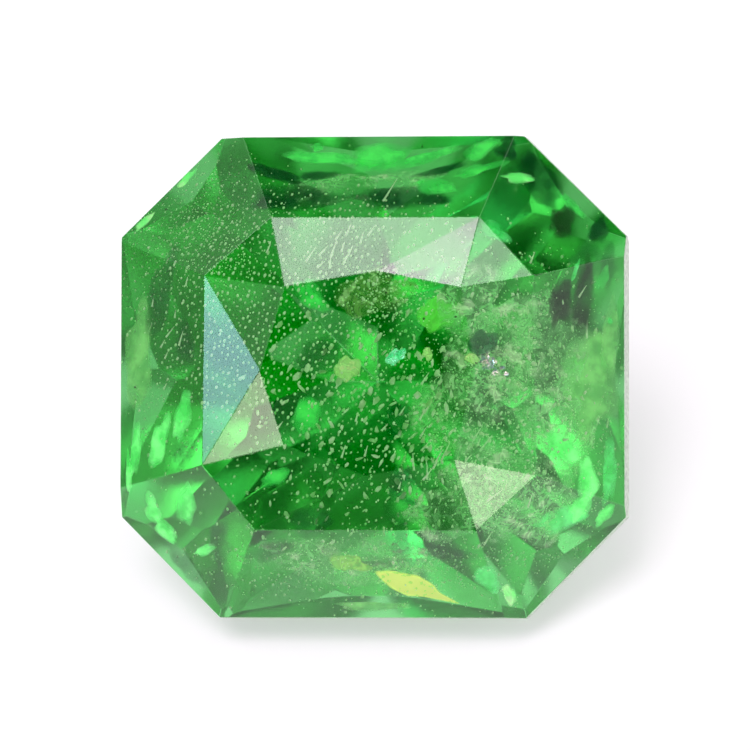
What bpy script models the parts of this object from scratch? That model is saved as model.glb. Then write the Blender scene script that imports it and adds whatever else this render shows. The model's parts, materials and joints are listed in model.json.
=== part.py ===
"""Faceted tsavorite garnet, a square radiant cut with cropped corners, lying loose on one pavilion facet.

The stone is ground as a cutter grinds it: a rough block is cut back by one flat plane for each facet.
The planes are laid out in the cutter's frame, in millimetres, with the table facing +Z, the stone's length
along X and z = 0 at the upper edge of the girdle. The finished stone is then laid down on the pavilion
facet that it rests on and scaled to metres.
"""

import math
import random

import bmesh
import bpy
from mathutils import Matrix, Vector

MM = 0.001

COMPASS = ("east", "north_east", "north", "north_west", "west", "south_west", "south", "south_east")
SIDES = COMPASS[0::2]
CORNERS = COMPASS[1::2]

# Outline of the girdle
LENGTH = 6.50
BREADTH = 6.21
CORNER_CUT = 1.29
GIRDLE_THICKNESS = 0.28
# Degrees by which the girdle spreads below the crown, so that its pale band shows from above
GIRDLE_SPREAD = {"east": 13.0, "north_east": 9.0, "south_east": 9.0, "south": 4.0}

# Crown: the points of the break line, where bezel facets give way to star facets
BREAK_HEIGHT = 0.76
BREAK_POINTS = {
    ("north", "north_east"): (1.41, 1.98),
    ("north_east", "east"): (2.09, 1.23),
    ("east", "south_east"): (2.12, -1.29),
    ("south_east", "south"): (1.36, -1.99),
    ("south", "south_west"): (-1.44, -1.98),
    ("south_west", "west"): (-2.11, -1.16),
    ("west", "north_west"): (-2.09, 1.25),
    ("north_west", "north"): (-1.24, 1.99),
}
# The corners of the table, one on each star facet of the break line
TABLE_HEIGHT = 0.97
TABLE_POINTS = {
    "east": (1.35, 0.03),
    "north_east": (1.18, 1.07),
    "north": (0.12, 1.28),
    "north_west": (-1.05, 1.09),
    "west": (-1.36, 0.03),
    "south_west": (-1.05, -0.91),
    "south": (-0.03, -1.30),
    "south_east": (1.08, -1.09),
}
# How far each cropped corner's bezel is set in from the girdle, so that it wraps past its ends
CORNER_BEZEL_INSET = 0.13
# A second bezel on the north-east corner meets the girdle this far below the east side's upper edge
SPLIT_BEZEL_DROP = 0.14

# Pavilion: the mains meet at the culet, and the other tiers are cut in from the girdle
PAVILION_DEPTH = 3.40
MAIN_SLOPE = 40.0
CORNER_MAIN_SLOPE = 39.0
# Culet facets lie between the mains and run this far out on the mains' slope before they die out
CULET_SLOPE = 38.0
CULET_REACH = 1.3
# The stone lies on its south main, which is steeper and wider than the others
REST_FACET = "south"
REST_SLOPE = 43.0
# Each tier's compass directions, turns off them, slope, and drop below the girdle's furthest corner
PAVILION_TIERS = {
    "break": (SIDES, (0.0,), 58.0, 0.0),
    "corner_break": (CORNERS, (0.0,), 55.0, 0.0),
    "under_break": (("east", "north", "west"), (-5.0, 5.0), 48.0, 0.10),
    "shoulder": (("east", "north", "west"), (-12.0, 12.0), 45.0, 0.07),
    "corner_shoulder": (CORNERS, (-10.0, 10.0), 45.0, 0.12),
    "rib": (SIDES, (-26.0, 26.0), 42.0, 0.18),
    "rest_under_break": (("south",), (-5.0, 5.0), 48.0, 0.20),
    "rest_shoulder": (("south",), (-12.0, 12.0), 45.0, 0.15),
}
# A hand-cut stone's facets are a little off: degrees of slope, and twice that in direction
HAND_SLIP = 0.6
HAND_SEED = 8

ROUGH_SIDE = 12.0
# Corners nearer to a cut than this lie on it, and edges shorter than the other length are merged away
SNAP = 2e-4
SMALLEST_EDGE = 0.012

STONE_GREEN = (0.10, 0.62, 0.16, 1.0)
GARNET_IOR = 1.74


def azimuth_of(name):
    """A compass name's angle from +X, in degrees."""
    return 45.0 * COMPASS.index(name)


def outward(azimuth, slope):
    """A facet's outward normal: slope 0 faces up, 90 is a wall and 180 faces down."""
    turn, tip = math.radians(azimuth), math.radians(slope)
    return Vector((math.sin(tip) * math.cos(turn), math.sin(tip) * math.sin(turn), math.cos(tip)))


def girdle_reach(name):
    """How far the girdle's side in that direction lies from the axis."""
    if name in ("east", "west"):
        return LENGTH / 2
    if name in ("north", "south"):
        return BREADTH / 2
    return ((LENGTH + BREADTH) / 2 - CORNER_CUT) / math.sqrt(2)


def lower_girdle_reach(name):
    """The same at the girdle's lower edge, which lies further out where the girdle spreads."""
    return girdle_reach(name) + GIRDLE_THICKNESS * math.tan(math.radians(GIRDLE_SPREAD.get(name, 0.0)))


def lower_girdle_corners():
    """The eight corners of the girdle's lower edge, each where two neighbouring sides meet."""
    corners = []
    for i, name in enumerate(COMPASS):
        near, far = lower_girdle_reach(COMPASS[i - 1]), lower_girdle_reach(name)
        ahead = (far - near * math.cos(math.pi / 4)) / math.sin(math.pi / 4)
        along = outward(azimuth_of(COMPASS[i - 1]), 90.0)
        across = outward(azimuth_of(COMPASS[i - 1]) + 90.0, 90.0)
        corners.append(along * near + across * ahead - Vector((0, 0, GIRDLE_THICKNESS)))
    return corners


def straight_out(name, reach, height):
    """The point that lies so far from the axis in a compass direction."""
    return reach * outward(azimuth_of(name), 90.0) + Vector((0, 0, height))


def break_points(*names):
    """The points of the break line that touch every named side: two for one side, one for a pair."""
    return [Vector((*place, BREAK_HEIGHT)) for pair, place in BREAK_POINTS.items() if set(names) <= set(pair)]


def table_point(name):
    return Vector((*TABLE_POINTS[name], TABLE_HEIGHT))


def through_three(a, b, c):
    """The plane through three points, facing away from the middle of the stone."""
    normal = (b - a).cross(c - a).normalized()
    return (a, -normal) if normal.dot(a) < 0 else (a, normal)


def bezel_planes():
    planes = []
    for name in COMPASS:
        inset = CORNER_BEZEL_INSET if name in CORNERS else 0.0
        planes.append(through_three(*break_points(name), straight_out(name, girdle_reach(name) - inset, 0.0)))
    start = break_points("north_east", "east")[0]
    middle = straight_out("north_east", girdle_reach("north_east") - CORNER_BEZEL_INSET, 0.0)
    end = Vector((LENGTH / 2, BREADTH / 2 - CORNER_CUT, -SPLIT_BEZEL_DROP))
    planes.append(through_three(start, middle, end))
    return planes


def star_planes():
    planes = []
    for name in COMPASS:
        planes.append(through_three(*break_points(name), table_point(name)))
    for name, other in BREAK_POINTS:
        corner = break_points(name, other)[0]
        planes.append(through_three(corner, table_point(name), table_point(other)))
    return planes


def girdle_planes():
    planes = []
    for name in COMPASS:
        lean = 90.0 - GIRDLE_SPREAD.get(name, 0.0)
        planes.append((straight_out(name, girdle_reach(name), 0.0), outward(azimuth_of(name), lean)))
    return planes


def below_girdle(azimuth, slope, drop):
    """A pavilion facet that passes a set drop below the girdle's furthest corner in its direction."""
    heading = outward(azimuth, 90.0)
    corner = max(lower_girdle_corners(), key=heading.dot)
    return corner - Vector((0, 0, drop)), outward(azimuth, 180.0 - slope)


def pavilion_planes():
    culet = Vector((0, 0, -GIRDLE_THICKNESS - PAVILION_DEPTH))
    hand = random.Random(HAND_SEED)

    def slip():
        return hand.uniform(-HAND_SLIP, HAND_SLIP)

    planes = [(culet, outward(azimuth_of(REST_FACET), 180.0 - REST_SLOPE))]
    for name in COMPASS:
        if name != REST_FACET:
            slope = CORNER_MAIN_SLOPE if name in CORNERS else MAIN_SLOPE
            planes.append((culet, outward(azimuth_of(name) + 2 * slip(), 180.0 - slope - slip())))
    rise = CULET_REACH * math.tan(math.radians(MAIN_SLOPE))
    for name in COMPASS:
        azimuth = azimuth_of(name) + 22.5
        point = culet + CULET_REACH * outward(azimuth, 90.0) + Vector((0, 0, rise))
        planes.append((point, outward(azimuth, 180.0 - CULET_SLOPE)))
    for directions, turns, slope, drop in PAVILION_TIERS.values():
        for name in directions:
            for turn in turns:
                planes.append(below_girdle(azimuth_of(name) + turn + 2 * slip(), slope + slip(), drop))
    return planes


def facet_planes():
    table = (Vector((0, 0, TABLE_HEIGHT)), Vector((0, 0, 1)))
    return [table] + star_planes() + bezel_planes() + girdle_planes() + pavilion_planes()


def grind(planes):
    """A rough block cut back by every plane in turn, each cut closed by one flat face."""
    stone = bmesh.new()
    bmesh.ops.create_cube(stone, size=ROUGH_SIDE)
    for point, normal in planes:
        everything = stone.verts[:] + stone.edges[:] + stone.faces[:]
        bmesh.ops.bisect_plane(
            stone, geom=everything, dist=SNAP, plane_co=point, plane_no=normal, clear_outer=True
        )
        rim = [edge for edge in stone.edges if edge.is_boundary]
        if rim:
            bmesh.ops.contextual_create(stone, geom=rim)
    bmesh.ops.remove_doubles(stone, verts=stone.verts, dist=SMALLEST_EDGE)
    bmesh.ops.dissolve_degenerate(stone, dist=SMALLEST_EDGE, edges=stone.edges)
    bmesh.ops.recalc_face_normals(stone, faces=stone.faces)
    return stone


def garnet_material():
    material = bpy.data.materials.new("tsavorite")
    material.use_nodes = True
    shader = material.node_tree.nodes["Principled BSDF"]
    shader.inputs["Base Color"].default_value = STONE_GREEN
    shader.inputs["Roughness"].default_value = 0.02
    shader.inputs["Metallic"].default_value = 0.0
    shader.inputs["IOR"].default_value = GARNET_IOR
    shader.inputs["Transmission Weight"].default_value = 1.0
    return material


def clear_scene():
    for obj in list(bpy.data.objects):
        bpy.data.objects.remove(obj)


def main():
    clear_scene()
    stone = grind(facet_planes())
    bmesh.ops.scale(stone, vec=(MM, MM, MM), verts=stone.verts)
    mesh = bpy.data.meshes.new("faceted_stone")
    stone.to_mesh(mesh)
    stone.free()
    mesh.materials.append(garnet_material())

    # Tipping the table towards -Y lays the south main facet flat on the ground
    lie_down = Matrix.Rotation(math.radians(REST_SLOPE), 4, "X")
    corners = [lie_down @ vertex.co for vertex in mesh.vertices]
    low = Vector(map(min, zip(*corners)))
    high = Vector(map(max, zip(*corners)))
    gem = bpy.data.objects.new("faceted_stone", mesh)
    gem.rotation_euler = lie_down.to_euler()
    gem.location = (-(low.x + high.x) / 2, -(low.y + high.y) / 2, -low.z)
    bpy.context.scene.collection.objects.link(gem)


if __name__ == "__main__":
    main()
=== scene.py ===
"""Looks of a loose tsavorite garnet: the cut stone, what grew inside it, and a small studio round it.

The stone lies tilted, as it rests, so its looks are planned in the cutter's frame: the table faces +Z, the
stone's length runs along X and z = 0 at the upper edge of the girdle. Lengths there are in millimetres.
"""

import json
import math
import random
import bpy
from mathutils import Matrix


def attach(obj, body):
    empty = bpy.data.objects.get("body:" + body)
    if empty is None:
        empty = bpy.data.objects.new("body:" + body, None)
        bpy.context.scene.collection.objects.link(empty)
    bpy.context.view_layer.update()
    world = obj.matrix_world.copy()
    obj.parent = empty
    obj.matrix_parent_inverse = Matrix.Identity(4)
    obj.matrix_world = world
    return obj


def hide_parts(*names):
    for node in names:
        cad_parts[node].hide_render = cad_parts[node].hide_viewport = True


bl_info = {
    "name": "Tsavorite garnet",
    "version": (1, 0, 0),
    "blender": (4, 5, 0),
    "location": "View3D > Sidebar > Garnet",
    "description": "A radiant-cut tsavorite garnet with its inclusions, lying in a small light studio",
    "category": "Object",
}

import bmesh
import bpy
from bpy.props import FloatProperty, FloatVectorProperty, IntProperty, PointerProperty
from mathutils import Matrix, Vector, noise

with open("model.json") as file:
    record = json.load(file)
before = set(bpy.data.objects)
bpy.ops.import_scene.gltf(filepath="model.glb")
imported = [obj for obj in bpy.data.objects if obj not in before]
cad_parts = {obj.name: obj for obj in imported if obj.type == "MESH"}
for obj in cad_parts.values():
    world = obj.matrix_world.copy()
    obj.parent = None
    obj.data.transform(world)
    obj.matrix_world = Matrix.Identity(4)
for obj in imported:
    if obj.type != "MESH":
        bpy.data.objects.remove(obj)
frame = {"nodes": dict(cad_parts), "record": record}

MM = 0.001
STONE_NODE = "faceted_stone"
STONE = frame["nodes"][STONE_NODE]

# The stone's driving sizes, as it was cut
LENGTH = 6.50
BREADTH = 6.21
CROWN_HEIGHT = 0.97

# Nearer than this, corners of the loose triangles are one, and flatter than this, triangles are one facet
MERGE_DISTANCE = 1e-7
FLAT_ANGLE = math.radians(0.3)


def facing(azimuth, tilt):
    """A direction in the cutter's frame: azimuth from +X, tilt from the table's normal, in degrees."""
    turn, tip = math.radians(azimuth), math.radians(tilt)
    return Vector((math.sin(tip) * math.cos(turn), math.sin(tip) * math.sin(turn), math.cos(tip)))


def cutter_frame():
    """Where the cutter's frame lies in the row's frame, from the table's mount and the stone's extents."""
    table = next(mount for mount in frame["record"]["mounts"] if mount["name"] == "table")
    turn = Vector((0, 0, 1)).rotation_difference(Vector(table["axis"])).to_matrix()
    corners = [turn.inverted() @ vertex.co for vertex in STONE.data.vertices]
    west = min(corner.x for corner in corners)
    north = max(corner.y for corner in corners)
    top = max(corner.z for corner in corners)
    middle = Vector((west + LENGTH / 2 * MM, north - BREADTH / 2 * MM, top - CROWN_HEIGHT * MM))
    return Matrix.Translation(turn @ middle) @ turn.to_4x4()


CUTTER = cutter_frame()
CUTTER_MM = CUTTER @ Matrix.Scale(MM, 4)


class Value:
    """The output of a node, with arithmetic that adds Math nodes."""

    def __init__(self, recipe, socket):
        self.recipe = recipe
        self.socket = socket

    def __add__(self, other):
        return self.recipe.math("ADD", self, other)

    def __radd__(self, other):
        return self.recipe.math("ADD", other, self)

    def __sub__(self, other):
        return self.recipe.math("SUBTRACT", self, other)

    def __rsub__(self, other):
        return self.recipe.math("SUBTRACT", other, self)

    def __mul__(self, other):
        return self.recipe.math("MULTIPLY", self, other)

    def __rmul__(self, other):
        return self.recipe.math("MULTIPLY", other, self)

    def __abs__(self):
        return self.recipe.math("ABSOLUTE", self)


class Recipe:
    """The nodes of one material or world."""

    def __init__(self, owner):
        owner.use_nodes = True
        self.tree = owner.node_tree
        self.tree.nodes.clear()

    def node(self, kind, settings=None, inputs=None, output=0):
        """Adds a node, sets its settings and then its inputs, and returns one of its outputs."""
        made = self.tree.nodes.new(kind)
        for name, value in (settings or {}).items():
            setattr(made, name, value)
        for name, value in (inputs or {}).items():
            self.fill(made.inputs[name], value)
        return Value(self, made.outputs[output]) if made.outputs else made

    def fill(self, socket, value):
        if isinstance(value, Value):
            self.tree.links.new(value.socket, socket)
        else:
            socket.default_value = value

    def math(self, operation, *values):
        return self.node("ShaderNodeMath", {"operation": operation}, dict(enumerate(values)))

    def mix(self, factor, first, second):
        """A colour that goes from the first to the second."""
        inputs = {"Factor": factor, "A": first, "B": second}
        return self.node("ShaderNodeMix", {"data_type": "RGBA"}, inputs, "Result")

    def step(self, value, low, high, start=0.0, end=1.0):
        """Start below the low value, end above the high one, and a smooth change between them."""
        inputs = {"Value": value, "From Min": low, "From Max": high, "To Min": start, "To Max": end}
        return self.node("ShaderNodeMapRange", {"interpolation_type": "SMOOTHSTEP"}, inputs)

    def noise(self, grains_per_mm, detail=2.0, roughness=0.5, curl=0.0):
        """Noise on Object coordinates, between 0 and 1."""
        inputs = {
            "Vector": self.node("ShaderNodeTexCoord", output="Object"),
            "Scale": grains_per_mm / MM,
            "Detail": detail,
            "Roughness": roughness,
            "Distortion": curl,
        }
        return self.node("ShaderNodeTexNoise", None, inputs, "Fac")

    def attribute(self, name):
        return self.node("ShaderNodeAttribute", {"attribute_name": name}, None, "Fac")

    def principled(self, **inputs):
        named = {name.replace("_", " "): value for name, value in inputs.items()}
        return self.node("ShaderNodeBsdfPrincipled", None, named)

    def surface(self, shader, volume=None):
        outputs = {"Surface": shader}
        if volume:
            outputs["Volume"] = volume
        self.node("ShaderNodeOutputMaterial", None, outputs)


def rgb(color):
    return (*color, 1.0)


def new_piece(name, mesh, material, smooth=False):
    """An object of the stone that rides with it, from a bmesh in the row's frame."""
    for face in mesh.faces:
        face.smooth = smooth
    data = bpy.data.meshes.new(name)
    mesh.to_mesh(data)
    mesh.free()
    data.materials.append(material)
    piece = bpy.data.objects.new(name, data)
    bpy.context.scene.collection.objects.link(piece)
    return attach(piece, "root")


def merged_stone():
    """The CAD stone's loose triangles joined back into flat facets."""
    mesh = bmesh.new()
    mesh.from_mesh(STONE.data)
    bmesh.ops.remove_doubles(mesh, verts=mesh.verts, dist=MERGE_DISTANCE)
    bmesh.ops.dissolve_limit(mesh, angle_limit=FLAT_ANGLE, verts=mesh.verts, edges=mesh.edges)
    return mesh


def facet_planes():
    """A point and the outward normal of each facet, in the cutter's frame and in millimetres."""
    mesh = merged_stone()
    mesh.transform(CUTTER_MM.inverted())
    mesh.normal_update()
    planes = [(face.calc_center_median(), face.normal.copy()) for face in mesh.faces]
    mesh.free()
    return planes


PLANES = facet_planes()
# Facets that face up at least this much make the crown
UPWARD = 0.1
# Small shapes are built this many at a time
BATCH = 80
# Sheets stay this deep under the crown
CROWN_CLEARANCE = 0.04
# How finely a sheet's rim and its surface wave
RIM_WAVES = 1.7
RIPPLE_WAVES = 3.0
# How much of its taper also narrows a sheet towards its far end
TAPER_LEAN = 0.8


def is_inside(point, depth):
    """Whether a point lies at least so deep in the stone."""
    return all((point - place).dot(normal) < -depth for place, normal in PLANES)


def below_crown(x, y, depth):
    """The point so deep under the stone's upper surface at a place in the cutter's frame."""
    heights = []
    for place, normal in PLANES:
        if normal.z > UPWARD:
            heights.append(place.z - (normal.x * (x - place.x) + normal.y * (y - place.y)) / normal.z)
    return Vector((x, y, min(heights) - depth))


def scatter(fields, spacing, seed, margin=0.03):
    """Random places under the crown, kept apart as seen from above, each with its field's size.

    Each field has a middle, a spread, a range of depths, a number of tries and a size.
    """
    hand = random.Random(seed)
    taken = {}
    shapes = []
    for (x, y), (spread_x, spread_y), (shallow, deep), tries, size in fields.values():
        for _ in range(tries):
            across, along = hand.gauss(x, spread_x), hand.gauss(y, spread_y)
            column, line = math.floor(across / spacing), math.floor(along / spacing)
            near = [taken.get((column + i, line + j), ()) for i in (-1, 0, 1) for j in (-1, 0, 1)]
            crowded = any(math.hypot(across - a, along - b) < spacing for places in near for a, b in places)
            point = below_crown(across, along, hand.uniform(shallow, deep))
            if not crowded and is_inside(point, margin):
                taken.setdefault((column, line), []).append((across, along))
                shapes.append((point, size))
    return shapes


def grown(shapes, build):
    """One mesh of many small shapes, built a few at a time because operators slow down on a large mesh."""
    whole = bmesh.new()
    carrier = bpy.data.meshes.new("carrier")
    for start in range(0, len(shapes), BATCH):
        few = bmesh.new()
        for place, size in shapes[start:start + BATCH]:
            build(few, place, size)
        few.to_mesh(carrier)
        few.free()
        whole.from_mesh(carrier)
    bpy.data.meshes.remove(carrier)
    return whole


def set_down(place, azimuth, tilt):
    """A matrix that puts a shape at a place in the cutter's frame, its Z turned to that direction."""
    turn = Vector((0, 0, 1)).rotation_difference(facing(azimuth, tilt)).to_matrix().to_4x4()
    return Matrix.Translation(CUTTER_MM @ place) @ CUTTER.to_3x3().to_4x4() @ turn


def ragged_sheet(mesh, sheet, shift, ripple=0.03, thickness=0.008, taper=0.0, rag=0.45, detail=5):
    """A thin closed sheet with a ragged rim, kept under the crown.

    A sheet has a place and depth, two half-lengths, a heading, and the azimuth and tilt that it faces.
    Taper draws its ends out to points and makes it widest near the first. The corners of the mesh carry
    their nearness to the middle, for the materials to thin out by.
    """
    (x, y, depth), reach, heading, azimuth, tilt = sheet
    nearness = mesh.verts.layers.float.get("nearness") or mesh.verts.layers.float.new("nearness")
    made = bmesh.ops.create_icosphere(mesh, subdivisions=detail, radius=1.0)
    turn = Vector((0, 0, 1)).rotation_difference(facing(azimuth, tilt)).to_matrix()
    turn = turn @ Matrix.Rotation(math.radians(heading), 3, "Z")
    middle = below_crown(x, y, depth)
    for vert in made["verts"]:
        across, along, over = vert.co
        along *= (1 - taper * abs(across)) * (1 - TAPER_LEAN * taper * across)
        rim = 1 + rag * noise.noise(Vector((RIM_WAVES * across, RIM_WAVES * along, shift)))
        wave = ripple * noise.noise(Vector((RIPPLE_WAVES * across, RIPPLE_WAVES * along, shift + 9)))
        point = middle + turn @ Vector((across * reach[0] * rim, along * reach[1] * rim, wave))
        point.z = min(point.z, below_crown(point.x, point.y, CROWN_CLEARANCE).z)
        vert[nearness] = abs(over)
        vert.co = CUTTER_MM @ (point + turn @ Vector((0, 0, over * thickness / 2)))


def sheet_piece(name, sheets, material, seed, **shape):
    """One piece of several sheets, each ragged in its own way."""
    mesh = bmesh.new()
    for shift, sheet in enumerate(sheets, seed):
        ragged_sheet(mesh, sheet, shift, **shape)
    return new_piece(name, mesh, material, smooth=True)


def ragged_grain(mesh, matrix, size, hand, wildness):
    """A small rounded grain with its corners pulled in and out."""
    made = bmesh.ops.create_icosphere(mesh, subdivisions=1, radius=size, matrix=matrix)
    for vert in made["verts"]:
        vert.co = matrix.translation.lerp(vert.co, 1 + hand.uniform(-wildness, wildness))


# Pinpoints: fine pale grains, thickest under the upper left of the crown
PINPOINT_FIELDS = {
    "upper left of the table": ((-1.35, 0.75), (0.60, 0.55), (0.05, 0.35), 3400, 1.0),
    "under the north star": ((-0.45, 1.65), (0.75, 0.30), (0.05, 0.30), 1100, 1.0),
    "north-west corner": ((-2.05, 1.75), (0.50, 0.45), (0.05, 0.35), 1500, 0.6),
    "west side": ((-2.55, 0.60), (0.25, 0.85), (0.05, 0.35), 800, 0.55),
    "west star": ((-1.95, 0.40), (0.15, 0.60), (0.05, 0.30), 300, 0.75),
    "north side": ((-0.60, 2.05), (0.80, 0.15), (0.05, 0.30), 400, 0.6),
    "middle": ((-0.30, -0.20), (0.75, 0.75), (0.05, 0.80), 600, 1.0),
    "lower middle": ((0.30, -1.20), (1.10, 0.55), (0.05, 0.80), 600, 0.8),
    "south side": ((-0.30, -2.40), (1.20, 0.25), (0.05, 0.40), 300, 0.8),
    "deep down": ((0.0, 0.0), (1.60, 1.40), (0.80, 2.80), 700, 1.3),
}
# Flakes: ragged pale bits in the middle and on the right
FLAKE_FIELDS = {
    "middle": ((0.45, -0.35), (0.55, 0.50), (0.05, 0.50), 230, 1.0),
    "left of the middle": ((-0.45, -0.20), (0.45, 0.40), (0.05, 0.50), 80, 1.0),
    "right of the table": ((1.30, -0.10), (0.45, 0.50), (0.05, 0.40), 90, 0.9),
    "lower middle": ((0.15, -1.15), (0.70, 0.45), (0.05, 0.80), 300, 0.85),
    "east side": ((2.30, -0.20), (0.30, 0.60), (0.05, 0.40), 60, 0.7),
    "pale lump under the star": ((0.25, 1.00), (0.20, 0.15), (0.10, 0.30), 60, 0.7),
}
# Lace: platelets that lie side by side in healed cracks
LACE_FIELDS = {
    "right of the table": ((1.70, 0.35), (0.35, 0.40), (0.10, 0.22), 220, 0.9),
    "east side": ((2.20, -0.45), (0.40, 0.40), (0.15, 0.30), 140, 0.9),
    "south-east": ((1.50, -1.00), (0.45, 0.35), (0.15, 0.30), 160, 0.9),
    "north of the middle": ((0.30, 0.95), (0.22, 0.13), (0.10, 0.20), 60, 0.8),
}
# Mist: grains too fine to tell apart, where the stone looks milky
MIST_FIELDS = {
    "right of the table": ((1.70, 0.00), (0.60, 0.70), (0.05, 0.9), 1800, 1.0),
    "east side": ((2.40, -0.40), (0.35, 0.80), (0.05, 0.6), 900, 1.0),
    "south-east": ((1.80, -1.60), (0.60, 0.40), (0.05, 0.6), 700, 1.0),
    "south side": ((0.20, -2.40), (1.20, 0.25), (0.05, 0.4), 700, 1.0),
    "north-west corner": ((-2.10, 1.80), (0.45, 0.45), (0.05, 0.4), 600, 1.0),
    "north of the middle": ((0.35, 0.95), (0.35, 0.22), (0.05, 0.5), 300, 1.0),
}
# Healed cracks: place and depth, half-lengths, heading, and the azimuth and tilt that each faces
VEILS = {
    "right of the table": ((1.75, 0.15, 0.22), (0.95, 0.80), 20.0, 0.0, 20.0),
    "east side": ((2.30, -0.35, 0.30), (0.75, 1.00), 10.0, -5.0, 30.0),
    "upper east side": ((2.22, 0.62, 0.24), (0.50, 0.42), 50.0, 20.0, 28.0),
    "south-east": ((1.75, -1.45, 0.30), (0.95, 0.60), -35.0, -45.0, 25.0),
    "right of the middle": ((1.00, -0.50, 0.45), (0.60, 0.45), -50.0, -60.0, 12.0),
    "upper right of the table": ((1.32, 0.88, 0.22), (0.52, 0.42), 70.0, 0.0, 12.0),
    "lower right of the table": ((0.98, -1.72, 0.24), (0.55, 0.34), 10.0, -70.0, 12.0),
    "north side": ((-0.20, 2.35, 0.25), (1.00, 0.26), 6.0, 90.0, 30.0),
    "south side": ((-0.30, -2.30, 0.22), (1.25, 0.34), -3.0, -90.0, 28.0),
}
BROWN_VEIL = ((0.02, 1.00, 0.28), (0.50, 0.32), 10.0, 100.0, 8.0)
LIME_PATCH = ((0.85, 0.74, 0.30), (0.26, 0.24), 20.0, 60.0, 8.0)
PALE_LUMPS = (
    ((-0.27, 0.05, 0.15), (0.17, 0.17), 30.0, 0.0, 0.0),
    ((1.32, 0.17, 0.06), (0.07, 0.09), 70.0, 0.0, 0.0),
    ((0.76, 0.24, 0.10), (0.07, 0.08), 20.0, 0.0, 0.0),
)
MINT_SPARK = ((0.34, 0.20, 0.12), (0.14, 0.09), 35.0, 120.0, 9.0)
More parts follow.
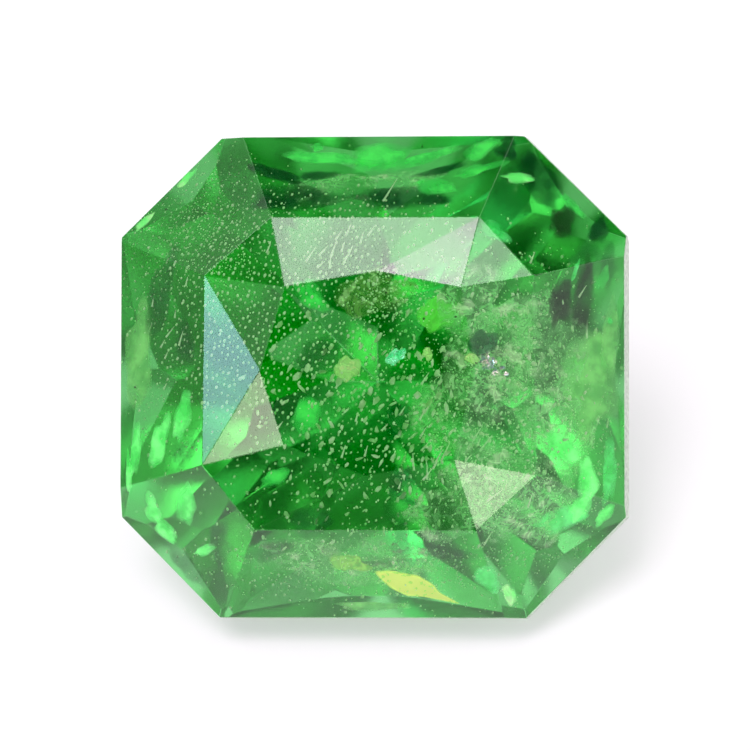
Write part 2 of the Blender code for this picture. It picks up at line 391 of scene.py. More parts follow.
# Films that paint soft flashes and shades into the stone and are no things in it: sheets, two colours,
# painted glow and body
PAINTED_LIGHT_FILMS = {
    "bright_painted_flashes": (
        (
            ((-0.62, 2.78, 0.12), (0.62, 0.12), -6.0, 90.0, 20.0),
            ((0.10, 2.78, 0.16), (0.48, 0.24), 18.0, 90.0, 20.0),
            ((-0.69, 2.94, 0.10), (0.10, 0.07), 0.0, 90.0, 20.0),
            ((0.69, 2.78, 0.12), (0.56, 0.11), 20.0, 90.0, 20.0),
            ((1.42, 2.90, 0.10), (0.34, 0.13), 38.0, 90.0, 20.0),
            ((1.38, 2.60, 0.14), (0.36, 0.09), 20.0, 90.0, 20.0),
            ((0.84, 2.38, 0.14), (0.36, 0.13), -6.0, 90.0, 20.0),
            ((2.95, 1.24, 0.10), (0.18, 0.10), 60.0, 0.0, 20.0),
            ((2.58, 2.18, 0.10), (0.24, 0.09), -45.0, 45.0, 20.0),
            ((-0.78, -0.50, 0.40), (0.30, 0.20), 60.0, 0.0, 10.0),
            ((-1.16, -1.28, 0.35), (0.24, 0.11), 30.0, 0.0, 10.0),
            ((-0.72, 0.98, 0.40), (0.28, 0.14), -42.0, 0.0, 10.0),
        ),
        (0.14, 1.0, 0.20), (0.06, 0.80, 0.12), 0.30, 0.75,
    ),
    "dim_painted_shades": (
        (
            ((-1.20, 2.53, 0.22), (0.50, 0.12), -25.0, 90.0, 20.0),
            ((-0.95, 2.20, 0.24), (0.72, 0.22), 0.0, 90.0, 20.0),
            ((0.45, 2.20, 0.24), (0.85, 0.18), 0.0, 90.0, 20.0),
            ((0.90, 2.58, 0.22), (0.40, 0.09), 20.0, 90.0, 20.0),
            ((-0.66, 2.52, 0.22), (0.36, 0.08), 6.0, 90.0, 20.0),
            ((1.75, 2.88, 0.14), (0.20, 0.16), 80.0, 90.0, 20.0),
            ((2.12, 2.50, 0.20), (0.55, 0.26), 118.0, 45.0, 20.0),
            ((2.90, 1.85, 0.14), (0.22, 0.17), 60.0, 45.0, 20.0),
        ),
        (0.006, 0.15, 0.04), (0.003, 0.09, 0.03), 0.0, 0.75,
    ),
    "shade_films": (
        (
            ((-2.66, 1.00, 0.20), (0.62, 0.24), 74.0, 180.0, 20.0),
            ((-2.30, 0.40, 0.24), (0.40, 0.16), 100.0, 180.0, 20.0),
            ((-1.24, -2.18, 0.22), (0.42, 0.15), 20.0, -90.0, 20.0),
            ((0.95, -2.20, 0.22), (0.50, 0.14), -10.0, -90.0, 20.0),
            ((0.43, -1.55, 0.30), (0.52, 0.26), 95.0, 0.0, 10.0),
            ((0.42, -2.12, 0.20), (0.26, 0.16), 90.0, -90.0, 20.0),
            ((-0.72, -1.82, 0.26), (0.36, 0.20), 10.0, -60.0, 12.0),
            ((0.10, -2.36, 0.22), (0.60, 0.15), 0.0, -90.0, 20.0),
            ((3.02, 1.42, 0.10), (0.36, 0.14), 80.0, 0.0, 20.0),
            ((0.40, -0.55, 0.40), (0.30, 0.22), 60.0, 0.0, 10.0),
            ((-0.62, 0.22, 0.34), (0.36, 0.28), 40.0, 0.0, 10.0),
            ((2.75, 1.45, 0.14), (0.36, 0.24), 60.0, 20.0, 20.0),
            ((-2.30, -0.98, 0.22), (0.24, 0.16), 30.0, 180.0, 20.0),
            ((-1.88, -2.10, 0.20), (0.34, 0.20), 80.0, -135.0, 20.0),
            ((-2.36, -2.42, 0.14), (0.42, 0.16), -45.0, -135.0, 20.0),
        ),
        (0.01, 0.16, 0.05), (0.005, 0.09, 0.03), 0.0, 0.38,
    ),
    "smoky_painted_shades": (
        (
            ((2.43, 1.92, 0.14), (0.26, 0.22), 60.0, 45.0, 20.0),
            ((2.70, 0.98, 0.14), (0.60, 0.16), 82.0, 0.0, 20.0),
            ((2.40, 0.95, 0.16), (0.42, 0.17), 75.0, 0.0, 20.0),
        ),
        (0.05, 0.10, 0.05), (0.03, 0.06, 0.03), 0.0, 0.75,
    ),
    "pale_painted_flashes": (
        (
            ((-2.97, 0.20, 0.12), (0.72, 0.27), 86.0, 180.0, 20.0),
            ((3.05, 0.45, 0.10), (0.62, 0.14), 86.0, 0.0, 20.0),
            ((2.74, -0.05, 0.24), (0.85, 0.42), 88.0, 0.0, 25.0),
            ((0.05, -2.93, 0.10), (0.50, 0.09), 0.0, -90.0, 20.0),
        ),
        (0.36, 0.90, 0.28), (0.20, 0.72, 0.18), 0.22, 0.90,
    ),
    "sparkle_films": (
        (
            ((-2.68, -0.88, 0.14), (0.38, 0.16), 70.0, 180.0, 20.0),
            ((-2.33, -1.64, 0.14), (0.34, 0.15), 80.0, -135.0, 20.0),
            ((-2.62, -1.98, 0.12), (0.26, 0.12), -50.0, -135.0, 20.0),
            ((-3.02, -0.92, 0.10), (0.38, 0.10), 85.0, 180.0, 20.0),
            ((2.74, -1.32, 0.14), (0.34, 0.16), 100.0, 0.0, 20.0),
            ((-2.79, -1.70, 0.12), (0.22, 0.13), 100.0, -135.0, 20.0),
            ((-2.09, -2.21, 0.12), (0.22, 0.07), 25.0, -135.0, 20.0),
            ((-3.12, -1.24, 0.08), (0.28, 0.06), 90.0, 180.0, 10.0),
            ((-2.36, -0.52, 0.14), (0.36, 0.14), 75.0, 180.0, 20.0),
            ((2.43, -0.95, 0.18), (0.38, 0.19), -40.0, -10.0, 20.0),
            ((2.98, -1.75, 0.12), (0.20, 0.10), 50.0, -45.0, 20.0),
            ((2.68, -1.64, 0.12), (0.26, 0.12), 60.0, -45.0, 20.0),
        ),
        (0.28, 1.0, 0.32), (0.08, 0.85, 0.14), 0.54, 0.90,
    ),
    "flash_films": (
        (
            ((-2.41, 2.56, 0.06), (0.18, 0.07), 45.0, 135.0, 10.0),
            ((-2.95, 2.00, 0.06), (0.20, 0.06), 44.0, 135.0, 10.0),
            ((1.90, 2.52, 0.10), (0.28, 0.08), 3.0, 90.0, 20.0),
            ((1.75, -2.79, 0.08), (0.17, 0.10), 115.0, -90.0, 20.0),
        ),
        (0.60, 1.0, 0.48), (0.22, 1.0, 0.26), 0.40, 1.2,
    ),
    "mint_painted_flashes": (
        (
            ((2.60, 1.31, 0.10), (0.16, 0.04), 65.0, 0.0, 20.0),
            ((3.05, 0.70, 0.08), (0.05, 0.05), 0.0, 0.0, 20.0),
            ((2.45, -1.80, 0.16), (0.46, 0.17), 12.0, -45.0, 20.0),
            ((3.02, -1.20, 0.12), (0.46, 0.13), 88.0, 0.0, 20.0),
            ((1.49, -2.58, 0.14), (0.28, 0.14), -55.0, -90.0, 20.0),
            ((1.58, 1.79, 0.10), (0.22, 0.13), -30.0, 45.0, 25.0),
        ),
        (0.20, 1.0, 0.34), (0.06, 0.85, 0.16), 0.36, 0.70,
    ),
}
FILM_TAPER = 0.15
# Dark specks, each a place and depth
SPECKS = (
    (0.71, 0.68, 0.06),
    (1.11, 0.70, 0.06),
    (0.23, 1.01, 0.06),
    (1.36, 0.12, 0.04),
    (-3.04, -0.14, 0.05),
    (-2.66, 2.16, 0.05),
    (0.66, 2.95, 0.06),
)
# Needles: fine straight threads
NEEDLE_FIELDS = {
    "under the north star": ((-0.35, 1.60), (0.40, 0.20), (0.05, 0.25), 34, 1.0),
    "north side": ((0.22, 2.38), (0.10, 0.05), (0.05, 0.20), 3, 1.8),
    "west side": ((-2.50, 0.45), (0.20, 0.35), (0.05, 0.30), 16, 0.9),
    "middle": ((0.60, -0.30), (0.80, 0.70), (0.10, 0.60), 30, 0.8),
    "lower right": ((1.10, -1.20), (0.40, 0.30), (0.10, 0.60), 14, 1.2),
    "east side": ((2.30, 0.60), (0.30, 0.50), (0.05, 0.30), 9, 1.6),
}
# Least distance between two neighbours of a kind, as seen from above
PINPOINT_SPACING = 0.060
MIST_SPACING = 0.02
FLAKE_SPACING = 0.10
LACE_SPACING = 0.06
NEEDLE_SPACING = 0.07
# Where the flakes and needles point, in degrees from +X
GRAIN_HEADING = 66.0
# Radii of a needle's two ends
NEEDLE_ROOT = 0.016
NEEDLE_TIP = 0.004
# The sparkling crystal on the right: its place and depth, with the dark hollow beside it
CRYSTAL_PLACE = (1.53, 0.09, 0.06)
CRYSTAL_HEADING = math.radians(-25.0)
CRYSTAL_GRAINS = 34
# The hollow is a film painted dark: painted shade where the hollow turns the light away
HOLLOW = ((1.43, 0.36, 0.05), (0.19, 0.18), 30.0, 0.0, 0.0)
# A yellow sheet under the south bezel, drawn with a crack's specks, whose yellow and glow paint the yellow
# flash there, and a duller crack up and left of it
YELLOW_FLASH_CRACK = ((0.56, -2.68, 0.10), (0.58, 0.20), -26.0, -90.0, 41.0)
OLIVE_CRACK = ((-0.28, -2.38, 0.10), (0.27, 0.16), -14.0, -90.0, 41.0)


def grain_material(name, color, dark, glow):
    """Pale mineral, a little uneven, with a painted glow in place of the light that its neighbours pass on
    to it.
    """
    material = bpy.data.materials.new(name)
    recipe = Recipe(material)
    patchy = recipe.step(recipe.noise(6.0, 3.0), 0.3, 0.7)
    shade = recipe.mix(patchy, rgb(dark), rgb(color))
    # The emission is painted light: the grains glow though no lamp lights them
    shader = recipe.principled(
        Base_Color=shade,
        Roughness=0.35 + patchy * 0.3,
        IOR=1.45,
        Emission_Color=shade,
        Emission_Strength=glow,
    )
    recipe.surface(shader)
    return material


# Looks of the veils: the colours of their specks and of their ground, painted glow, milkiness, strength of
# the threads, share that gaps take out, and specks to the millimetre
VEIL_LOOKS = {
    "healed crack": ((0.74, 1.0, 0.62), (0.38, 0.92, 0.36), 0.15, 0.20, 0.55, 0.8, 5.0),
    "brownish veil": ((0.66, 1.0, 0.46), (0.28, 0.60, 0.16), 0.10, 0.22, 0.62, 0.8, 7.0),
    "lime patch": ((0.42, 1.0, 0.22), (0.20, 0.90, 0.12), 0.32, 0.50, 0.12, 0.2, 7.0),
    "pale lump": ((0.80, 1.0, 0.46), (0.55, 0.95, 0.34), 0.20, 0.65, 0.35, 0.0, 7.0),
    # This look paints the hollow dark: its darkness is painted shade
    "hollow film": ((0.12, 0.50, 0.20), (0.06, 0.32, 0.12), 0.0, 0.60, 0.0, 0.0, 7.0),
    # This look paints a yellow flash: its yellow and its glow are painted light
    "yellow flash film": ((0.48, 0.84, 0.14), (0.86, 1.0, 0.22), 0.34, 1.0, 0.0, 0.0, 15.0),
    "olive film": ((0.26, 0.74, 0.14), (0.58, 1.0, 0.24), 0.16, 0.50, 0.30, 0.3, 15.0),
}


def veil_material(name):
    """A healed crack: fine threads and specks on a milky film with gaps, thinning out towards the rim."""
    color, dark, glow, milk, threads, gaps, specks_per_mm = VEIL_LOOKS[name]
    material = bpy.data.materials.new(name)
    recipe = Recipe(material)
    line = recipe.step(abs(recipe.noise(5.5, 4.0, 0.5, 0.8) - 0.5), 0.0, 0.07, 1.0, 0.0)
    speck = recipe.step(recipe.noise(specks_per_mm, 3.0), 0.54, 0.66)
    cloud = recipe.step(recipe.noise(1.4, 4.0), 0.36, 0.62, 1 - gaps, 1.0)
    inward = recipe.step(recipe.attribute("nearness"), 0.0, 0.75)
    shade = recipe.mix(speck, rgb(dark), rgb(color))
    # The emission is painted light: the films glow though no lamp lights them
    shader = recipe.principled(
        Base_Color=shade,
        Roughness=0.6,
        IOR=1.45,
        Alpha=inward * cloud * (milk + threads * (line + speck * 0.6)),
        Emission_Color=shade,
        Emission_Strength=glow,
    )
    recipe.surface(shader)
    return material


def painted_light_material(name, color, dark, glow, body):
    """A painted soft flash or shade: a film that thins out from its middle, so much of a body at its
    thickest, whose glow is painted light.
    """
    material = bpy.data.materials.new(name)
    # The films' glow lights nothing else to speak of, so no rays are spent on aiming at them
    material.cycles.emission_sampling = "NONE"
    recipe = Recipe(material)
    patchy = recipe.step(recipe.noise(3.5, 4.0), 0.35, 0.65)
    inward = recipe.step(recipe.attribute("nearness"), 0.25, 1.0)
    shade = recipe.mix(patchy, rgb(dark), rgb(color))
    shader = recipe.principled(
        Base_Color=shade,
        Roughness=0.7,
        IOR=1.45,
        Alpha=inward * body * (0.6 + patchy * 0.4),
        Emission_Color=shade,
        Emission_Strength=glow,
    )
    recipe.surface(shader)
    return material


def film_material(name, color, dark, roughness, glow):
    """A bright film or crystal face inside the stone, which throws light back and glows with painted light
    besides.
    """
    material = bpy.data.materials.new(name)
    recipe = Recipe(material)
    patchy = recipe.step(recipe.noise(9.0, 3.0), 0.42, 0.58)
    shade = recipe.mix(patchy, rgb(dark), rgb(color))
    # The emission is painted light: the faces glow though no lamp lights them
    shader = recipe.principled(
        Base_Color=shade,
        Roughness=roughness + patchy * 0.1,
        Metallic=1.0,
        Emission_Color=shade,
        Emission_Strength=glow,
    )
    recipe.surface(shader)
    return material


# The ground girdle: its roughness, the painted shade that darkens the hollow spots beside its grains, and
# their height in ripples
GIRDLE_ROUGHNESS = 0.55
GIRDLE_HOLLOW_SHADE = 0.72
GRIT_RIPPLES = 2.0
# How much the lap's lines roughen the polish
LAP_ROUGHNESS = 0.01
# How far up a face of the girdle looks, from its lowest to its highest, and a face of the pavilion at most
GIRDLE_LOWEST = -0.05
GIRDLE_HIGHEST = 0.30
PAVILION_HIGHEST = -0.3


def stone_material(settings):
    """Polished transparent garnet with a fine-ground girdle."""
    material = bpy.data.materials.new("polished garnet")
    recipe = Recipe(material)
    ground = recipe.attribute("ground")
    under = recipe.attribute("under")
    lap_lines = recipe.noise(3.0, 2.0)
    grit = recipe.step(recipe.noise(20.0, 3.0), 0.35, 0.65)
    hollow_shade = tuple(GIRDLE_HOLLOW_SHADE * value for value in settings.girdle_color)
    # The girdle is darker where its grit is low: painted shade in the hollow spots
    frost = recipe.mix(grit, rgb(hollow_shade), rgb(settings.girdle_color))
    waves = recipe.noise(1.1, 3.0, 0.6) * (1 + under * settings.under_ripple)
    bump = {"Height": waves + ground * grit * GRIT_RIPPLES, "Distance": settings.polish_ripple}
    polish = recipe.step(ground, 0.0, 1.0, settings.haze, GIRDLE_ROUGHNESS)
    shader = recipe.principled(
        Base_Color=recipe.mix(ground, rgb((1, 1, 1)), frost),
        Roughness=polish + under * settings.under_haze + lap_lines * LAP_ROUGHNESS,
        Metallic=ground * settings.girdle_frost,
        IOR=settings.ior,
        Transmission_Weight=1.0,
        Normal=recipe.node("ShaderNodeBump", None, bump, "Normal"),
    )
    absorption = {"Color": rgb(settings.body_color), "Density": settings.body_density}
    recipe.surface(shader, recipe.node("ShaderNodeVolumeAbsorption", None, absorption))
    return material


class StoneSettings(bpy.types.PropertyGroup):
    body_color: FloatVectorProperty(
        name="Body colour", description="What the stone lets through", default=(0.345, 0.86, 0.42),
        subtype="COLOR", min=0.0, max=1.0,
    )
    body_density: FloatProperty(
        name="Colour depth", description="How fast the colour deepens, per metre of stone",
        default=505.0, min=0.0,
    )
    ior: FloatProperty(name="Refractive index", description="Tsavorite bends light this much", default=1.75)
    haze: FloatProperty(
        name="Haze", description="Roughness that stands for the fine silk in the stone", default=0.05,
        subtype="FACTOR", min=0.0, max=1.0,
    )
    under_haze: FloatProperty(
        name="Haze below", description="How much duller the lower facets are", default=0.07,
        subtype="FACTOR", min=0.0, max=1.0,
    )
    under_ripple: FloatProperty(
        name="Ripple below", description="How much more the polish of the lower facets waves",
        default=3.0, min=0.0,
    )
    edge_wear: FloatProperty(
        name="Edge wear", description="Width of the worn edge between two facets", default=0.006 * MM,
        unit="LENGTH", precision=6, min=0.0,
    )
    polish_ripple: FloatProperty(
        name="Polish ripple", description="Height of the waves that hand polishing leaves",
        default=0.0006 * MM, unit="LENGTH", precision=7, min=0.0,
    )
    girdle_color: FloatVectorProperty(
        name="Girdle colour", description="Colour of the ground girdle", default=(0.84, 0.90, 0.80),
        subtype="COLOR", min=0.0, max=1.0,
    )
    girdle_frost: FloatProperty(
        name="Girdle frost", description="How much of the light the ground girdle throws back", default=0.75,
        subtype="FACTOR", min=0.0, max=1.0,
    )


class InclusionSettings(bpy.types.PropertyGroup):
    seed: IntProperty(name="Seed", description="Which random stone this is", default=4)
    pinpoint_radius: FloatProperty(
        name="Pinpoint radius", description="Radius of a middling pinpoint", default=0.0145 * MM,
        unit="LENGTH", precision=6, min=0.0,
    )
    flake_size: FloatProperty(
        name="Flake size", description="Half the length of a middling flake", default=0.055 * MM,
        unit="LENGTH", precision=6, min=0.0,
    )
    platelet_size: FloatProperty(
        name="Platelet size", description="Half the length of a platelet in a healed crack",
        default=0.030 * MM, unit="LENGTH", precision=6, min=0.0,
    )
    mist_radius: FloatProperty(
        name="Mist radius", description="Radius of a middling grain of mist", default=0.008 * MM,
        unit="LENGTH", precision=6, min=0.0,
    )
    speck_radius: FloatProperty(
        name="Speck radius", description="Radius of a dark speck", default=0.016 * MM,
        unit="LENGTH", precision=6, min=0.0,
    )
    needle_length: FloatProperty(
        name="Needle length", description="Length of a middling needle", default=0.18 * MM,
        unit="LENGTH", precision=6, min=0.0,
    )
    crystal_radius: FloatProperty(
        name="Crystal radius", description="Radius of the sparkling crystal", default=0.16 * MM,
        unit="LENGTH", precision=6, min=0.0,
    )
    color: FloatVectorProperty(
        name="Colour", description="Colour of the pale mineral grains", default=(0.80, 1.0, 0.66),
        subtype="COLOR", min=0.0, max=1.0,
    )
    # The glow is painted light: the grains glow though no lamp lights them, in place of light passed on
    # inside the stone
    glow: FloatProperty(
        name="Glow", description="Light that the grains pass on to each other",
        default=0.14, min=0.0, max=1.0,
    )


class StudioSettings(bpy.types.PropertyGroup):
    floor_color: FloatVectorProperty(
        name="Floor", description="Colour of the floor", default=(0.52, 0.48, 0.52), subtype="COLOR",
        min=0.0, max=1.0,
    )
    tent_color: FloatVectorProperty(
        name="Light tent", description="Colour of the even light on all sides", default=(1.05, 1.05, 1.05),
        subtype="COLOR", min=0.0, max=2.0,
    )
    floor_glow: FloatProperty(
        name="Floor glow", description="Light that the white floor lets through from below",
        default=0.45, min=0.0,
    )
    key_strength: FloatProperty(
        name="Key light", description="Strength of the light that whitens the floor and casts the shadow",
        default=1.3, min=0.0,
    )
    black_level: FloatVectorProperty(
        name="Black level", description="Light that the picture shows as black",
        default=(0.012, 0.012, 0.012), subtype="COLOR", min=0.0, max=0.1,
    )
    lens: FloatProperty(name="Lens", description="Focal length of the camera in millimetres", default=150.0)


class GARNET_OT_stone(bpy.types.Operator):
    """Makes the polished stone from the CAD solid, with worn edges and a ground girdle"""

    bl_idname = "garnet.stone"
    bl_label = "Cut stone"

    def execute(self, context):
        settings = context.scene.garnet_stone
        mesh = merged_stone()
        bmesh.ops.bevel(
            mesh, geom=mesh.edges[:], offset=settings.edge_wear, offset_type="OFFSET", segments=1,
            profile=0.5, affect="EDGES", clamp_overlap=True, material=-1,
        )
        ground = mesh.faces.layers.float.new("ground")
        under = mesh.faces.layers.float.new("under")
        turn = CUTTER.to_3x3().inverted()
        mesh.normal_update()
        for face in mesh.faces:
            upward = (turn @ face.normal).z
            face[ground] = 1.0 if GIRDLE_LOWEST < upward < GIRDLE_HIGHEST else 0.0
            face[under] = 1.0 if upward < PAVILION_HIGHEST else 0.0
        piece = new_piece("polished_stone", mesh, stone_material(settings))
        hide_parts(STONE_NODE)
        return {"FINISHED"}


class GARNET_OT_pinpoints(bpy.types.Operator):
    """Adds the pinpoints and the mist, as small grains under the crown"""

    bl_idname = "garnet.pinpoints"
    bl_label = "Pinpoints and mist"

    def execute(self, context):
        settings = context.scene.garnet_inclusions
        pale = grain_material("pale grains", settings.color, (0.62, 0.95, 0.50), settings.glow)
        hand = random.Random(settings.seed)

        def pinpoint(mesh, place, size):
            radius = settings.pinpoint_radius * size * hand.uniform(0.5, 1.4)
            stretch = Matrix.Diagonal((1, 1, hand.uniform(1.0, 1.7), 1))
            matrix = set_down(place, hand.gauss(GRAIN_HEADING, 15), 80) @ stretch
            bmesh.ops.create_icosphere(mesh, subdivisions=1, radius=radius, matrix=matrix)

        def mist(mesh, place, size):
            radius = settings.mist_radius * size * hand.uniform(0.6, 1.4)
            matrix = Matrix.Translation(CUTTER_MM @ place)
            bmesh.ops.create_icosphere(mesh, subdivisions=1, radius=radius, matrix=matrix)

        shapes = scatter(PINPOINT_FIELDS, PINPOINT_SPACING, settings.seed)
        new_piece("pinpoints", grown(shapes, pinpoint), pale, smooth=True)
        shapes = scatter(MIST_FIELDS, MIST_SPACING, settings.seed + 1)
        new_piece("mist", grown(shapes, mist), pale, smooth=True)
        return {"FINISHED"}


class GARNET_OT_flakes(bpy.types.Operator):
    """Adds the ragged flakes, and the lace of platelets in healed cracks"""

    bl_idname = "garnet.flakes"
    bl_label = "Flakes and lace"

    def execute(self, context):
        settings = context.scene.garnet_inclusions
        hand = random.Random(settings.seed + 2)

        def flake(mesh, place, size):
            half = settings.flake_size * size * hand.uniform(0.35, 1.3)
            shape = Matrix.Diagonal((hand.uniform(0.25, 0.7), hand.uniform(0.25, 0.7), 1, 1))
            matrix = set_down(place, hand.gauss(GRAIN_HEADING, 30), hand.uniform(65, 95)) @ shape
            ragged_grain(mesh, matrix, half, hand, 0.4)

        def platelet(mesh, place, size):
            half = settings.platelet_size * size * hand.uniform(0.5, 1.4)
            shape = Matrix.Diagonal((1, hand.uniform(0.3, 0.8), 0.2, 1))
            shape = Matrix.Rotation(hand.uniform(0, math.pi), 4, "Z") @ shape
            matrix = set_down(place, hand.uniform(0, 360), hand.uniform(0, 30)) @ shape
            ragged_grain(mesh, matrix, half, hand, 0.35)

        shapes = scatter(FLAKE_FIELDS, FLAKE_SPACING, settings.seed + 3)
        mineral = grain_material("flake mineral", settings.color, (0.34, 0.72, 0.26), settings.glow)
        new_piece("flakes", grown(shapes, flake), mineral, smooth=True)
        shapes = scatter(LACE_FIELDS, LACE_SPACING, settings.seed + 6)
        film = grain_material("lace mineral", settings.color, (0.56, 0.88, 0.44), settings.glow)
        new_piece("lace", grown(shapes, platelet), film, smooth=True)
        return {"FINISHED"}


class GARNET_OT_needles(bpy.types.Operator):
    """Adds the fine needles"""

    bl_idname = "garnet.needles"
    bl_label = "Needles"

    def execute(self, context):
        settings = context.scene.garnet_inclusions
        hand = random.Random(settings.seed + 4)

        def needle(mesh, place, size):
            length = settings.needle_length * size * hand.uniform(0.6, 1.3)
            bmesh.ops.create_cone(
                mesh, cap_ends=True, segments=5,
                radius1=NEEDLE_ROOT * MM, radius2=NEEDLE_TIP * MM, depth=length,
                matrix=set_down(place, hand.gauss(GRAIN_HEADING, 14), hand.uniform(80, 100)),
            )

        shapes = scatter(NEEDLE_FIELDS, NEEDLE_SPACING, settings.seed + 5, margin=0.1)
        mineral = grain_material("needle mineral", settings.color, (0.80, 0.98, 0.66), settings.glow)
        new_piece("needles", grown(shapes, needle), mineral, smooth=True)
        return {"FINISHED"}


class GARNET_OT_veils(bpy.types.Operator):
    """Adds the veils of healed cracks, the small sheets in the middle, the films that paint flashes and
    shades and the dark specks
    """

    bl_idname = "garnet.veils"
    bl_label = "Veils, films and specks"

    def execute(self, context):
        settings = context.scene.garnet_inclusions
        seed = settings.seed
        sheet_piece("healed_cracks", VEILS.values(), veil_material("healed crack"), seed, ripple=0.08)
        sheet_piece("brown_veil", [BROWN_VEIL], veil_material("brownish veil"), seed)
        sheet_piece("lime_patch", [LIME_PATCH], veil_material("lime patch"), seed)
        sheet_piece("pale_lumps", PALE_LUMPS, veil_material("pale lump"), seed, thickness=0.08)
        # The mint film's glow is painted light
        mint = film_material("mint film", (0.40, 1.0, 0.68), (0.14, 0.80, 0.38), roughness=0.15, glow=0.22)
        sheet_piece("mint_spark", [MINT_SPARK], mint, seed)
        # Each of these films paints a flash or a shade; none is a thing in the stone
        for name, (sheets, color, dark, glow, body) in PAINTED_LIGHT_FILMS.items():
            film = painted_light_material(name.replace("_", " "), color, dark, glow, body)
            sheet_piece(name, sheets, film, seed, ripple=0.01, detail=4, taper=FILM_TAPER)

        mesh = bmesh.new()
        hand = random.Random(seed + 8)
        for place in SPECKS:
            ragged_grain(mesh, set_down(below_crown(*place), 0, 0), settings.speck_radius, hand, 0.4)
        dark = grain_material("dark specks", (0.03, 0.07, 0.02), (0.06, 0.04, 0.02), 0.0)
        new_piece("dark_specks", mesh, dark, smooth=True)
        return {"FINISHED"}


class GARNET_OT_crystal(bpy.types.Operator):
    """Adds the sparkling crystal with its hollow painted dark, and the yellow cracks under the south bezel,
    the brighter of which paints a yellow flash
    """

    bl_idname = "garnet.crystal"
    bl_label = "Crystal and yellow cracks"

    def execute(self, context):
        settings = context.scene.garnet_inclusions
        hand = random.Random(settings.seed + 7)
        radius = settings.crystal_radius
        middle = below_crown(*CRYSTAL_PLACE)
        mesh = bmesh.new()
        for _ in range(CRYSTAL_GRAINS):
            along, across = hand.gauss(0, 0.45), hand.gauss(0, 0.26)
            spread = Vector((along, across, hand.uniform(-0.2, 0.2)))
            place = middle + Matrix.Rotation(CRYSTAL_HEADING, 3, "Z") @ spread * radius / MM
            shape = Matrix.Diagonal((1, 0.7, 0.4, 1))
            matrix = set_down(place, hand.uniform(0, 360), hand.uniform(0, 60)) @ shape
            ragged_grain(mesh, matrix, radius * hand.uniform(0.18, 0.42), hand, 0.3)
        white, grey = (1.0, 0.86, 0.82), (0.38, 0.54, 0.52)
        # The crystal faces' glow is painted light
        faces = film_material("crystal faces", white, grey, roughness=0.05, glow=0.14)
        new_piece("crystal", mesh, faces)

        seed = settings.seed
        # The hollow's darkness is painted shade
        sheet_piece("hollow", [HOLLOW], veil_material("hollow film"), seed, thickness=0.05)
        yellow, olive = veil_material("yellow flash film"), veil_material("olive film")
        sheet_piece("yellow_flash_crack", [YELLOW_FLASH_CRACK], yellow, seed, ripple=0.004, taper=0.7, rag=0.2)
        sheet_piece("olive_crack", [OLIVE_CRACK], olive, seed, ripple=0.004, taper=0.3)
        return {"FINISHED"}


# Softboxes of the light tent, in the cutter's frame: azimuth, tilt, half-width and soft edge in degrees,
# and colour
SOFTBOXES = {
    "grey card low at the left": (160.0, 80.0, 36.0, 8.0, (0.45, 0.45, 0.45)),
    "dark clothes in front": (-90.0, 48.0, 25.0, 9.0, (0.15, 0.15, 0.15)),
    "hands and camera": (-78.0, 6.0, 18.0, 7.0, (0.12, 0.12, 0.12)),
    "lens": (137.0, 4.0, 8.0, 4.0, (0.02, 0.02, 0.02)),
    "gap at the upper left": (146.0, 42.0, 14.0, 5.0, (0.12, 0.12, 0.12)),
    "gap at the lower left": (-143.0, 24.0, 12.0, 4.0, (0.12, 0.12, 0.12)),
    "gap at the lower right": (-29.0, 34.0, 13.0, 5.0, (0.15, 0.15, 0.15)),
    "gap at the upper right": (35.0, 38.0, 13.0, 6.0, (0.15, 0.15, 0.15)),
    "gap low at the back": (90.0, 76.0, 10.0, 5.0, (0.1, 0.1, 0.1)),
    "gap low at the right of the back": (50.0, 75.0, 9.0, 5.0, (0.1, 0.1, 0.1)),
    "card low at the right": (5.0, 68.0, 13.0, 7.0, (0.75, 0.75, 0.75)),
    "card over the back": (90.0, 58.0, 8.0, 5.0, (0.5, 0.5, 0.5)),
    "low lamp at the upper left": (134.0, 64.0, 8.0, 5.0, (2.6, 2.6, 2.6)),
    "lamp at the lower left": (-140.0, 38.0, 6.0, 4.0, (2.2, 2.2, 2.2)),
    "small lamp at the upper left": (120.0, 24.0, 4.0, 2.0, (2.0, 2.0, 2.0)),
    "tent wall at the right": (13.0, 28.5, 8.0, 4.0, (0.6, 0.6, 0.6)),
    "lamp over the back": (99.5, 35.2, 8.0, 2.0, (4.6, 4.6, 4.6)),
    "brighter lamp over the back": (84.0, 29.5, 5.0, 2.0, (6.8, 5.2, 6.6)),
    "lamp over the right of the back": (50.0, 33.0, 4.5, 2.0, (3.2, 3.2, 3.2)),
    "cool window at the left": (169.0, 37.5, 5.0, 3.0, (3.0, 4.3, 5.6)),
    "warm lamp at the left": (190.5, 26.5, 4.0, 2.0, (4.4, 4.3, 3.7)),
    "warm lamp at the right of the front": (-48.0, 26.5, 4.0, 2.0, (4.2, 4.1, 3.5)),
}

# The camera looks almost straight down on the table, from a little to the right and in front, in degrees
CAMERA_LEAN_EAST = 3.0
CAMERA_LEAN_SOUTH = 2.7
CAMERA_AIM = Vector((0.045, 0.015, 0.0))
PICTURE_WIDTH = 9.67
# Half the floor's side, in metres
FLOOR_REACH = 0.6
# The floor lies this far under the stone, whose lowest facet would otherwise be as one with it
FLOOR_GAP = 0.01
# How much of the paper's brightness its darker fibres keep
FIBRE_SHADE = 0.985
# Where the key light stands and how wide it is, in degrees
KEY_AZIMUTH = 120.0
KEY_TILT = 30.0
KEY_WIDTH = 25.0
# How often light may turn inside the stone, and how many clear films it may pass
STONE_BOUNCES = 12
FILMS_PASSED = 32


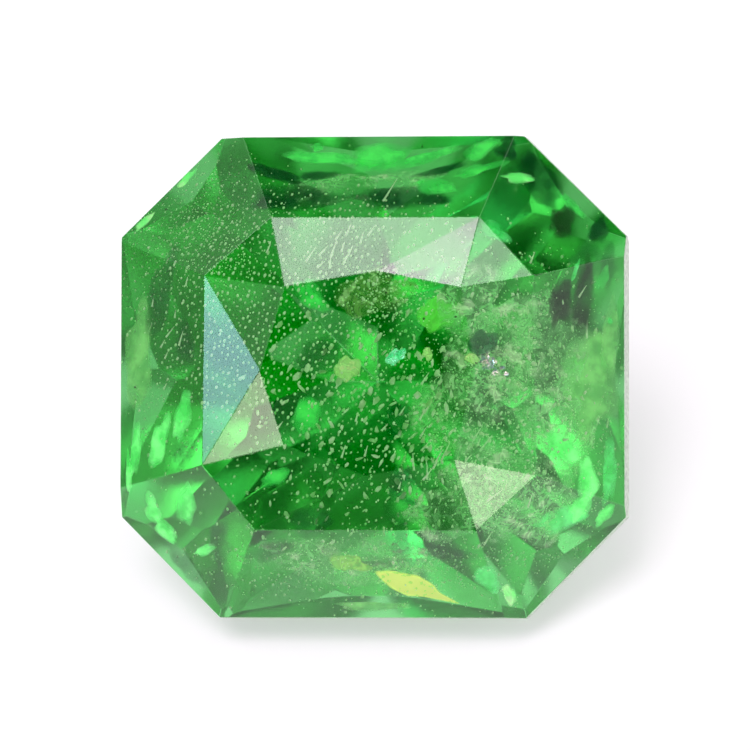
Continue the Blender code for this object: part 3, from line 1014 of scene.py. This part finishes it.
def light_tent(settings):
    """A world of even light with softboxes in it."""
    world = bpy.data.worlds.new("light tent")
    bpy.context.scene.world = world
    recipe = Recipe(world)
    heading = recipe.node("ShaderNodeTexCoord", output="Generated")
    glow = rgb(settings.tent_color)
    for azimuth, tilt, half_width, soft, color in SOFTBOXES.values():
        direction = CUTTER.to_3x3() @ facing(azimuth, tilt)
        inputs = {0: heading, 1: direction}
        nearness = recipe.node("ShaderNodeVectorMath", {"operation": "DOT_PRODUCT"}, inputs, "Value")
        edge = math.cos(math.radians(half_width + soft))
        full = math.cos(math.radians(half_width - soft))
        glow = recipe.mix(recipe.step(nearness, edge, full), glow, rgb(color))
    background = recipe.node("ShaderNodeBackground", None, {"Color": glow})
    recipe.node("ShaderNodeOutputWorld", None, {"Surface": background})


def floor_piece(settings):
    """A wide sheet of white paper, slightly uneven, that glows a little from below."""
    mesh = bmesh.new()
    drop = Matrix.Translation((0, 0, -FLOOR_GAP * MM))
    bmesh.ops.create_grid(mesh, x_segments=1, y_segments=1, size=FLOOR_REACH, matrix=drop)
    data = bpy.data.meshes.new("floor")
    mesh.to_mesh(data)
    mesh.free()
    material = bpy.data.materials.new("white paper")
    recipe = Recipe(material)
    fibre = recipe.noise(2.0, 3.0)
    low = tuple(FIBRE_SHADE * value for value in settings.floor_color)
    shade = recipe.mix(fibre, rgb(low), rgb(settings.floor_color))
    shader = recipe.principled(Base_Color=shade, Roughness=0.8, Emission_Strength=settings.floor_glow)
    recipe.surface(shader)
    data.materials.append(material)
    floor = bpy.data.objects.new("floor", data)
    bpy.context.scene.collection.objects.link(floor)


def key_light(settings):
    """A soft light from the upper left that whitens the floor and casts the shadow, unseen in the stone."""
    data = bpy.data.lights.new("key", "SUN")
    data.energy = settings.key_strength
    data.angle = math.radians(KEY_WIDTH)
    key = bpy.data.objects.new("key", data)
    toward = CUTTER.to_3x3() @ facing(KEY_AZIMUTH, KEY_TILT)
    key.rotation_euler = toward.to_track_quat("Z", "Y").to_euler()
    key.visible_glossy = False
    key.visible_transmission = False
    bpy.context.scene.collection.objects.link(key)


def camera(settings):
    """A camera that looks down on the table from as far as its lens needs."""
    lean = Vector((math.tan(math.radians(CAMERA_LEAN_EAST)), -math.tan(math.radians(CAMERA_LEAN_SOUTH)), 1))
    toward = (CUTTER.to_3x3() @ lean).normalized()
    right = (CUTTER.to_3x3() @ Vector((0, 1, 0))).cross(toward).normalized()
    up = toward.cross(right)
    data = bpy.data.cameras.new("camera")
    data.lens = settings.lens
    data.clip_start = MM
    basis = Matrix((right, up, toward)).transposed().to_4x4()
    distance = PICTURE_WIDTH * MM * data.lens / data.sensor_width
    basis.translation = CUTTER_MM @ CAMERA_AIM + toward * distance
    lens = bpy.data.objects.new("camera", data)
    lens.matrix_world = basis
    bpy.context.scene.collection.objects.link(lens)
    bpy.context.scene.camera = lens


class GARNET_OT_studio(bpy.types.Operator):
    """Sets out the floor, the light tent, the key light and the camera"""

    bl_idname = "garnet.studio"
    bl_label = "Studio"

    def execute(self, context):
        settings = context.scene.garnet_studio
        light_tent(settings)
        floor_piece(settings)
        key_light(settings)
        camera(settings)
        scene = context.scene
        scene.view_settings.view_transform = "Standard"
        scene.view_settings.use_curve_mapping = True
        scene.view_settings.curve_mapping.black_level = settings.black_level
        scene.view_settings.curve_mapping.update()
        scene.cycles.max_bounces = STONE_BOUNCES
        scene.cycles.transmission_bounces = STONE_BOUNCES
        scene.cycles.transparent_max_bounces = FILMS_PASSED
        return {"FINISHED"}


class GARNET_PT_panel(bpy.types.Panel):
    """The stone's settings and the steps that make it"""

    bl_idname = "GARNET_PT_panel"
    bl_label = "Tsavorite garnet"
    bl_space_type = "VIEW_3D"
    bl_region_type = "UI"
    bl_category = "Garnet"

    def draw(self, context):
        for group in SETTINGS:
            settings = getattr(context.scene, group)
            for name in settings.__annotations__:
                self.layout.prop(settings, name)
        for step in STEPS:
            self.layout.operator(step.bl_idname)


SETTINGS = {
    "garnet_stone": StoneSettings,
    "garnet_inclusions": InclusionSettings,
    "garnet_studio": StudioSettings,
}
STEPS = (
    GARNET_OT_stone,
    GARNET_OT_pinpoints,
    GARNET_OT_flakes,
    GARNET_OT_needles,
    GARNET_OT_veils,
    GARNET_OT_crystal,
    GARNET_OT_studio,
)


def register():
    for group, settings in SETTINGS.items():
        bpy.utils.register_class(settings)
        setattr(bpy.types.Scene, group, PointerProperty(type=settings))
    for step in (*STEPS, GARNET_PT_panel):
        bpy.utils.register_class(step)


def unregister():
    for step in reversed((*STEPS, GARNET_PT_panel)):
        bpy.utils.unregister_class(step)
    for group, settings in SETTINGS.items():
        delattr(bpy.types.Scene, group)
        bpy.utils.unregister_class(settings)


def corners(bounds):
    return [list(corner) for corner in bounds]


def main():
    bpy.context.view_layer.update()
    register()
    bpy.ops.garnet.stone()
    bpy.ops.garnet.pinpoints()
    bpy.ops.garnet.flakes()
    bpy.ops.garnet.needles()
    bpy.ops.garnet.veils()
    bpy.ops.garnet.crystal()
    bpy.ops.garnet.studio()


if __name__ == "__main__":
    main()
